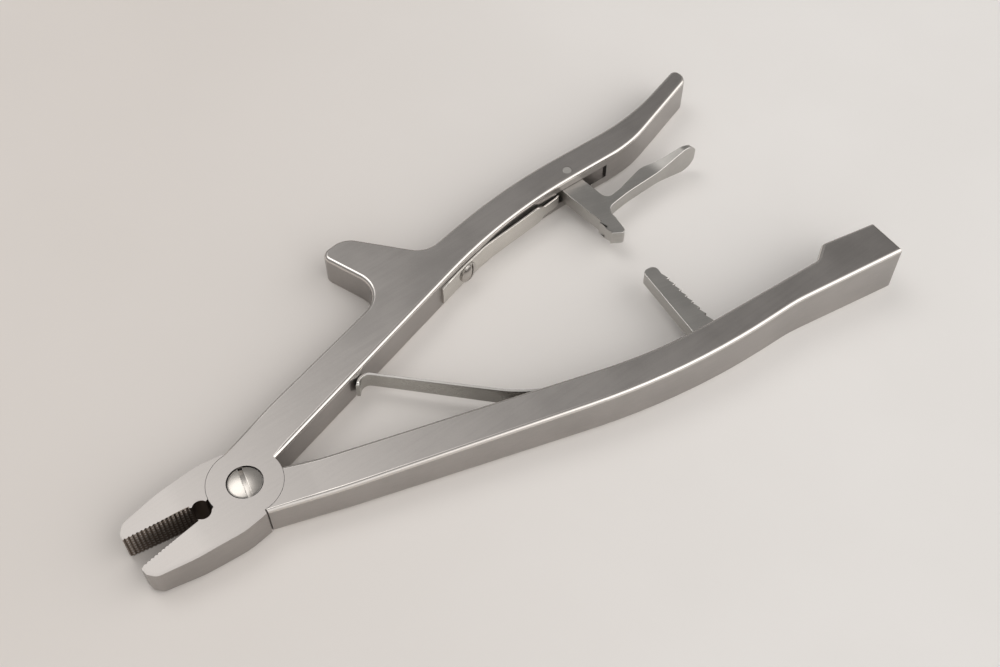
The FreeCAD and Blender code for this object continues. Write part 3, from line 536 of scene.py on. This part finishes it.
def bevelSurfaces(mesh, number, count):
    area = [0.0] * count
    rim = [0.0] * count
    turned = [0.0] * count
    for face in mesh.faces:
        area[number[face]] += face.calc_area()
    for edge in mesh.edges:
        if len(edge.link_faces) != 2:
            continue
        one, two = (number[face] for face in edge.link_faces)
        if one == two:
            continue
        length = edge.calc_length()
        angle = edge.calc_face_angle(math.pi)
        for side in (one, two):
            rim[side] += length
            if shading["bevelLow"] < angle < shading["bevelHigh"]:
                turned[side] += length
    found = set()
    for side in range(count):
        narrow = 2 * area[side] < shading["bevelWidth"] * rim[side]
        long = rim[side] > shading["bevelRim"]
        if narrow and long and turned[side] > shading["bevelShare"] * rim[side]:
            found.add(side)
    return {face for face in mesh.faces if number[face] in found}


def mergeFlat(mesh, kind):
    bmesh.ops.dissolve_limit(
        mesh, angle_limit=shading["flat"][kind], verts=mesh.verts, edges=mesh.edges,
    )


def roundBevels(mesh, bevelFaces, crispEnd, turn):
    # Cuts both rims of the bevels once more, and returns all the strips and the crisp faces.
    layer = mesh.faces.layers.int["strip"]
    rotate = Matrix.Rotation(turn, 3, "Z")
    for face in bevelFaces:
        crisp = (rotate @ face.calc_center_median()).x < crispEnd
        face[layer] = 2 if crisp else 1
    mergeFlat(mesh, "lever")
    rims = []
    for edge in mesh.edges:
        if len(edge.link_faces) != 2:
            continue
        strips = [face[layer] for face in edge.link_faces]
        angled = shading["bevelLow"] < edge.calc_face_angle(0) < shading["bevelHigh"]
        if sorted(strips) == [0, 1] and angled and edge.is_convex:
            rims.append(edge)
    made = bmesh.ops.bevel(
        mesh, geom=rims, offset=shading["roundWidth"], offset_type="OFFSET", segments=1,
        profile=0.5, affect="EDGES", clamp_overlap=False, miter_outer="SHARP", miter_inner="SHARP",
    )
    for face in made["faces"]:
        face[layer] = 1
    bmesh.ops.triangulate(mesh, faces=mesh.faces)
    mesh.normal_update()
    crispFaces = {face for face in mesh.faces if face[layer] == 2}
    return {face for face in mesh.faces if face[layer] == 1}, crispFaces


def cornerGroups(vertex, bevelFaces):
    # The faces round a vertex, in groups that are joined by flat edges.
    groupOf = {}
    for start in vertex.link_faces:
        if start in groupOf:
            continue
        groupOf[start] = start
        stack = [start]
        while stack:
            face = stack.pop()
            for edge in face.edges:
                if vertex not in edge.verts or len(edge.link_faces) != 2:
                    continue
                if edge.calc_face_angle(math.pi) > shading["facet"]:
                    continue
                for other in edge.link_faces:
                    if other not in groupOf and (other in bevelFaces) == (face in bevelFaces):
                        groupOf[other] = start
                        stack.append(other)
    return groupOf


def cornerNormals(mesh, bevelFaces, crispFaces):
    # A bevel's corners take the broad surfaces' normals, so that it shades as a round edge.
    # A crisp edge shades as the flat beside it.
    cornerOf = {}
    for vertex in mesh.verts:
        groupOf = cornerGroups(vertex, bevelFaces)
        sums = {}
        for loop in vertex.link_loops:
            group = groupOf[loop.face]
            sums[group] = sums.get(group, Vector()) + loop.face.normal * loop.calc_angle()
        for group in sums:
            sums[group].normalize()
        broad = [normal for group, normal in sums.items() if group not in bevelFaces]
        for loop in vertex.link_loops:
            normal = sums[groupOf[loop.face]]
            if loop.face in crispFaces:
                normal = Vector((0, 0, math.copysign(1, loop.face.normal.z)))
            elif loop.face in bevelFaces:
                near = [other for other in broad if other.dot(normal) > shading["bevelNear"]]
                if near:
                    normal = sum(near, Vector()).normalized()
            cornerOf[loop.index] = normal[:]
    return [cornerOf[index] for index in range(len(cornerOf))]


def softenRims(mesh, width):
    # The rims of the top and bottom faces get a narrow bevel.
    mergeFlat(mesh, "piece")
    rims = []
    for edge in mesh.edges:
        if len(edge.link_faces) != 2 or edge.calc_face_angle(0) < shading["rim"]:
            continue
        rises = [abs(face.normal.z) for face in edge.link_faces]
        if max(rises) > shading["level"] and min(rises) < shading["steep"]:
            rims.append(edge)
    bmesh.ops.bevel(
        mesh, geom=rims, offset=width, offset_type="OFFSET", segments=1,
        profile=0.5, affect="EDGES", clamp_overlap=False,
    )
    bmesh.ops.triangulate(mesh, faces=mesh.faces)


def cavityCorners(mesh, turn, crispFaces):
    # How deep each corner of the gripping teeth lies, from the tips' value to 1, and 1 all
    # round the throat; 0 elsewhere. The material paints shade by these values in the grooves
    # and the throat, and a glint on the tips.
    values = []
    rotate = Matrix.Rotation(turn, 3, "Z")
    tip = toothLook["tip"]
    for face in mesh.faces:
        centre = rotate @ face.calc_center_median()
        upright = abs(face.normal.z) < shading["level"] and face not in crispFaces
        away = math.hypot(centre.x - jaws["throatX"], centre.y)
        throat = upright and away < jaws["throatRadius"]
        tooth = upright and centre.x < jaws["toothEnd"] and abs(centre.y) < jaws["toothReach"]
        for loop in face.loops:
            if throat:
                values.append(1.0)
            elif tooth:
                depth = abs((rotate @ loop.vert.co).y) / jaws["toothDepth"]
                values.append(tip + (1.0 - tip) * min(1.0, depth))
            else:
                values.append(0.0)
    return values


def dress(name, body, slotName, finish, rimWidth):
    mesh = bmesh.new()
    mesh.from_mesh(nodes[name].data)
    mesh.faces.layers.int.new("strip")
    bmesh.ops.remove_doubles(mesh, verts=mesh.verts, dist=shading["weld"])
    mesh.normal_update()
    if rimWidth:
        softenRims(mesh, rimWidth)
        mesh.normal_update()
    bevelFaces = bevelSurfaces(mesh, *surfaces(mesh))
    crispFaces = set()
    turn = jaws["halfOpening"] if body == "block_side" else -jaws["halfOpening"]
    if name in jaws["crispEnd"]:
        bevelFaces, crispFaces = roundBevels(mesh, bevelFaces, jaws["crispEnd"][name], turn)
    mesh.faces.index_update()
    for index, loop in enumerate(loop for face in mesh.faces for loop in face.loops):
        loop.index = index
    normals = cornerNormals(mesh, bevelFaces, crispFaces)
    edgeFlags = [1.0 if face in bevelFaces else 0.0 for face in mesh.faces]
    cavities = None
    if name in jaws["crispEnd"]:
        cavities = cavityCorners(mesh, turn, crispFaces)
    data = bpy.data.meshes.new(name + "Dressed")
    mesh.to_mesh(data)
    mesh.free()
    data.shade_smooth()
    data.normals_split_custom_set(normals)
    layer = data.attributes.new("edgeFace", "FLOAT", "FACE")
    layer.data.foreach_set("value", edgeFlags)
    if cavities:
        layer = data.attributes.new("cavity", "FLOAT", "CORNER")
        layer.data.foreach_set("value", cavities)
    data.materials.clear()
    data.materials.append(steels[finish])
    piece = bpy.data.objects.new(name + "Dressed", data)
    scene.collection.objects.link(piece)
    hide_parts(name)
    if name in bending:
        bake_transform(piece)
    else:
        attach(piece, body)
    print(name, "dressed,", len(bevelFaces), "bevel faces")


for pieceName, facts in dressing.items():
    dress(pieceName, *facts)


# Screws: one tree makes all three, each in its own sizes

# The sizes that the tree takes. Heights run up from under the head, and lengths down.
pivotSizes = {
    "Head Radius": 4.70 * mm, "Head Height": 2.30 * mm, "Dome": 0.52 * mm,
    "Shank Radius": 3.3 * mm, "Shank Length": 2.92 * mm,
    "Thread Radius": 2.75 * mm, "Thread Length": 8.42 * mm,
    "Slot Width": 1.25 * mm, "Slot Depth": 0.95 * mm,
}
springScrewSizes = {
    "Head Radius": 3.4 * mm, "Head Height": 0.50 * mm, "Dome": 1.17 * mm,
    "Shank Radius": 1.5 * mm, "Shank Length": 5.9 * mm,
    "Thread Radius": 1.3 * mm, "Thread Length": 6.0 * mm,
    "Slot Width": 0.8 * mm, "Slot Depth": 0.1 * mm,
}

screws = {
    # node: body, sizes, and the degrees that it is driven further than the CAD screw
    "pivot_screw": ("block_side", pivotSizes, 9),
    "return_spring_screw": ("block_side", springScrewSizes, 0),
    "pawl_spring_screw": ("spur_side", springScrewSizes, 0),
}

turning = {
    "vertices": 64,
    "rings": 10,                # across the head's ends, so that the top can swell
    "topShare": 0.99,           # of the head's height; what lies above it swells
    "edge": 0.07 * mm,          # the bevel of sharp rims
    "edgeSegments": 2,
    # How the CAD screw is read: a side's normal leans along the axis by less than the
    # first, an end's by more than the second, and ends this close make one level.
    "side": 0.02,
    "end": 0.99,
    "levelHeight": 0.05 * mm,
}


def makeScrewTree():
    tree = bpy.data.node_groups.new("slottedScrew", "GeometryNodeTree")
    for label in pivotSizes:
        tree.interface.new_socket(name=label, in_out="INPUT", socket_type="NodeSocketFloat")
    tree.interface.new_socket(name="Material", in_out="INPUT", socket_type="NodeSocketMaterial")
    tree.interface.new_socket(name="Geometry", in_out="OUTPUT", socket_type="NodeSocketGeometry")
    start = tree.nodes.new("NodeGroupInput")
    end = tree.nodes.new("NodeGroupOutput")

    def cylinder(radius, length, centre, rings):
        made = tree.nodes.new("GeometryNodeMeshCylinder")
        made.fill_type = "TRIANGLE_FAN"
        made.inputs["Vertices"].default_value = turning["vertices"]
        made.inputs["Fill Segments"].default_value = rings
        tree.links.new(radius, made.inputs["Radius"])
        tree.links.new(length, made.inputs["Depth"])
        return moved(made.outputs["Mesh"], mathNode(tree, "MULTIPLY", length, centre))

    def moved(geometry, height):
        place = tree.nodes.new("ShaderNodeCombineXYZ")
        tree.links.new(height, place.inputs["Z"])
        move = tree.nodes.new("GeometryNodeTransform")
        tree.links.new(geometry, move.inputs["Geometry"])
        tree.links.new(place.outputs[0], move.inputs["Translation"])
        return move.outputs["Geometry"]

    headRadius = start.outputs["Head Radius"]
    headHeight = start.outputs["Head Height"]
    head = cylinder(headRadius, headHeight, 0.5, turning["rings"])

    # The top face swells into a dome.
    position = tree.nodes.new("GeometryNodeInputPosition")
    parts = tree.nodes.new("ShaderNodeSeparateXYZ")
    tree.links.new(position.outputs[0], parts.inputs[0])
    squares = mathNode(
        tree, "ADD",
        mathNode(tree, "POWER", parts.outputs["X"], 2.0),
        mathNode(tree, "POWER", parts.outputs["Y"], 2.0),
    )
    share = mathNode(tree, "DIVIDE", squares, mathNode(tree, "POWER", headRadius, 2.0))
    rise = mathNode(tree, "SUBTRACT", 1.0, share, clamp=True)
    swell = mathNode(tree, "MULTIPLY", rise, start.outputs["Dome"])
    onTop = mathNode(
        tree, "GREATER_THAN", parts.outputs["Z"],
        mathNode(tree, "MULTIPLY", headHeight, turning["topShare"]),
    )
    offset = tree.nodes.new("ShaderNodeCombineXYZ")
    tree.links.new(swell, offset.inputs["Z"])
    dome = tree.nodes.new("GeometryNodeSetPosition")
    tree.links.new(head, dome.inputs["Geometry"])
    tree.links.new(onTop, dome.inputs["Selection"])
    tree.links.new(offset.outputs[0], dome.inputs["Offset"])

    # The slot is cut across it, by a block that is longer and higher than the head.
    block = tree.nodes.new("GeometryNodeMeshCube")
    sides = tree.nodes.new("ShaderNodeCombineXYZ")
    tree.links.new(mathNode(tree, "MULTIPLY", headRadius, 3.0), sides.inputs["X"])
    tree.links.new(start.outputs["Slot Width"], sides.inputs["Y"])
    tree.links.new(mathNode(tree, "MULTIPLY", headRadius, 2.0), sides.inputs["Z"])
    tree.links.new(sides.outputs[0], block.inputs["Size"])
    slotFloor = mathNode(tree, "SUBTRACT", headHeight, start.outputs["Slot Depth"])
    blockHeight = mathNode(tree, "ADD", slotFloor, headRadius)
    cut = tree.nodes.new("GeometryNodeMeshBoolean")
    cut.operation = "DIFFERENCE"
    cut.solver = "EXACT"
    tree.links.new(dome.outputs["Geometry"], cut.inputs["Mesh 1"])
    tree.links.new(moved(block.outputs["Mesh"], blockHeight), cut.inputs["Mesh 2"])

    shank = cylinder(start.outputs["Shank Radius"], start.outputs["Shank Length"], -0.5, 1)
    thread = cylinder(start.outputs["Thread Radius"], start.outputs["Thread Length"], -0.5, 1)
    join = tree.nodes.new("GeometryNodeJoinGeometry")
    for geometry in (cut.outputs["Mesh"], shank, thread):
        tree.links.new(geometry, join.inputs[0])
    realize = tree.nodes.new("GeometryNodeRealizeInstances")
    finish = tree.nodes.new("GeometryNodeSetMaterial")
    tree.links.new(join.outputs[0], realize.inputs[0])
    tree.links.new(realize.outputs[0], finish.inputs["Geometry"])
    tree.links.new(start.outputs["Material"], finish.inputs["Material"])
    tree.links.new(finish.outputs[0], end.inputs[0])
    return tree


def screwPlace(name, further):
    # Read from the CAD screw: its axis, the plane under its head and the way its slot runs.
    faces = nodes[name].data.polygons
    upright = name == "pivot_screw"

    def widest(allowed):
        totals = {}
        for face in faces:
            if allowed(face.normal):
                key = tuple(round(c, 2) for c in face.normal)
                total = totals.setdefault(key, [0.0, Vector()])
                total[0] += face.area
                total[1] += face.normal * face.area
        return max(totals.values(), key=lambda total: total[0])[1].normalized()

    down = widest(lambda normal: not upright or normal.z < -shading["level"])
    axis = -down
    across = widest(lambda normal: abs(normal.dot(axis)) < turning["side"])
    along = across.cross(axis)
    levels = {}
    for face in faces:
        if face.normal.dot(down) > turning["end"]:
            level = round(face.center.dot(axis) / turning["levelHeight"])
            levels.setdefault(level, []).append((face.area, face.center.copy()))
    if upright:
        under = levels[max(levels)]
    else:
        under = max(levels.values(), key=lambda group: sum(area for area, centre in group))
    total = sum(area for area, centre in under)
    foot = sum((centre * area for area, centre in under), Vector()) / total
    turn = Matrix((along, across, axis)).transposed().to_4x4()
    return Matrix.Translation(foot) @ turn @ Matrix.Rotation(math.radians(further), 4, "Z")


def placeScrew(name, tree, body, sizes, further):
    holder = bpy.data.objects.new(name + "Holder", bpy.data.meshes.new(name + "Holder"))
    scene.collection.objects.link(holder)
    modifier = holder.modifiers.new("screw", "NODES")
    modifier.node_group = tree
    values = {**sizes, "Material": steels["screwSteel"]}
    for item in tree.interface.items_tree:
        if item.in_out == "INPUT":
            modifier[item.identifier] = values[item.name]
    bpy.context.view_layer.update()
    depsgraph = bpy.context.evaluated_depsgraph_get()
    data = bpy.data.meshes.new_from_object(holder.evaluated_get(depsgraph), depsgraph=depsgraph)
    holder.modifiers.remove(modifier)
    bpy.data.objects.remove(holder)
    data.name = name + "Dressed"
    data.transform(screwPlace(name, further))
    mesh = bmesh.new()
    mesh.from_mesh(data)
    bmesh.ops.remove_doubles(mesh, verts=mesh.verts, dist=shading["weld"])
    mergeFlat(mesh, "screw")
    sharp = [
        edge for edge in mesh.edges
        if edge.is_convex and edge.calc_face_angle(0) > shading["rim"]
    ]
    bmesh.ops.bevel(
        mesh, geom=sharp, offset=turning["edge"], offset_type="OFFSET",
        segments=turning["edgeSegments"], profile=0.5, affect="EDGES", clamp_overlap=True,
    )
    bmesh.ops.triangulate(mesh, faces=mesh.faces)
    mesh.to_mesh(data)
    mesh.free()
    data.shade_smooth()
    data.set_sharp_from_angle(angle=shading["facet"])
    piece = bpy.data.objects.new(name + "Dressed", data)
    scene.collection.objects.link(piece)
    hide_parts(name)
    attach(piece, body)
    print(name, "turned:", len(data.polygons), "faces")


screwTree = makeScrewTree()
for screwName, facts in screws.items():
    placeScrew(screwName, screwTree, *facts)


# The table

table = {
    "height": -0.04 * mm,     # under the pivot
    "slope": (-0.01117, 0.02287),    # along X and Y: the block end hangs lower than the joint
    "reach": 4.0,
    # painted light from the right: the colour runs from this darker one on the left
    "paintedDimLeftColour": (0.745, 0.705, 0.672),
    "paintedLitRightColour": (0.885, 0.868, 0.850),
    "ends": (-0.08, 0.20),    # metres across the picture, from the joint
    "patchColour": (0.6, 0.57, 0.53),
    "patchScale": 14.0,
    "patchDetail": (3.0, 0.5),
    "patchRange": (0.35, 0.65),
    "patchShare": 0.06,
    "roughness": 0.45,
    "specular": 0.3,
}


def makeTable():
    material = bpy.data.materials.new("paleTable")
    material.use_nodes = True
    tree = material.node_tree
    shader = tree.nodes["Principled BSDF"]
    shader.inputs["Roughness"].default_value = table["roughness"]
    shader.inputs["Specular IOR Level"].default_value = table["specular"]
    coords = tree.nodes.new("ShaderNodeTexCoord")
    across = tree.nodes.new("ShaderNodeVectorMath")
    across.operation = "DOT_PRODUCT"
    across.inputs[1].default_value = heading(math.radians(90), 0)
    tree.links.new(coords.outputs["Object"], across.inputs[0])
    # Painted light: darker to the left, lighter to the right across the picture.
    share = rangeNode(tree, across.outputs["Value"], *table["ends"])
    colour = mixColour(tree, share, table["paintedDimLeftColour"], table["paintedLitRightColour"])
    scale = table["patchScale"]
    mottle = noiseNode(tree, coords.outputs["Object"], scale, *table["patchDetail"])
    patches = rangeNode(tree, mottle, *table["patchRange"], 0.0, table["patchShare"])
    colour = mixColour(tree, patches, colour, table["patchColour"])
    tree.links.new(colour, shader.inputs["Base Color"])
    reach = table["reach"]
    slopeX, slopeY = table["slope"]
    corners = []
    for x, y in ((-reach, -reach), (reach, -reach), (reach, reach), (-reach, reach)):
        corners.append((x, y, table["height"] + x * slopeX + y * slopeY))
    data = bpy.data.meshes.new("table")
    data.from_pydata(corners, [], [(0, 1, 2, 3)])
    data.materials.append(material)
    floor = bpy.data.objects.new("table", data)
    scene.collection.objects.link(floor)
    print("table laid")


makeTable()
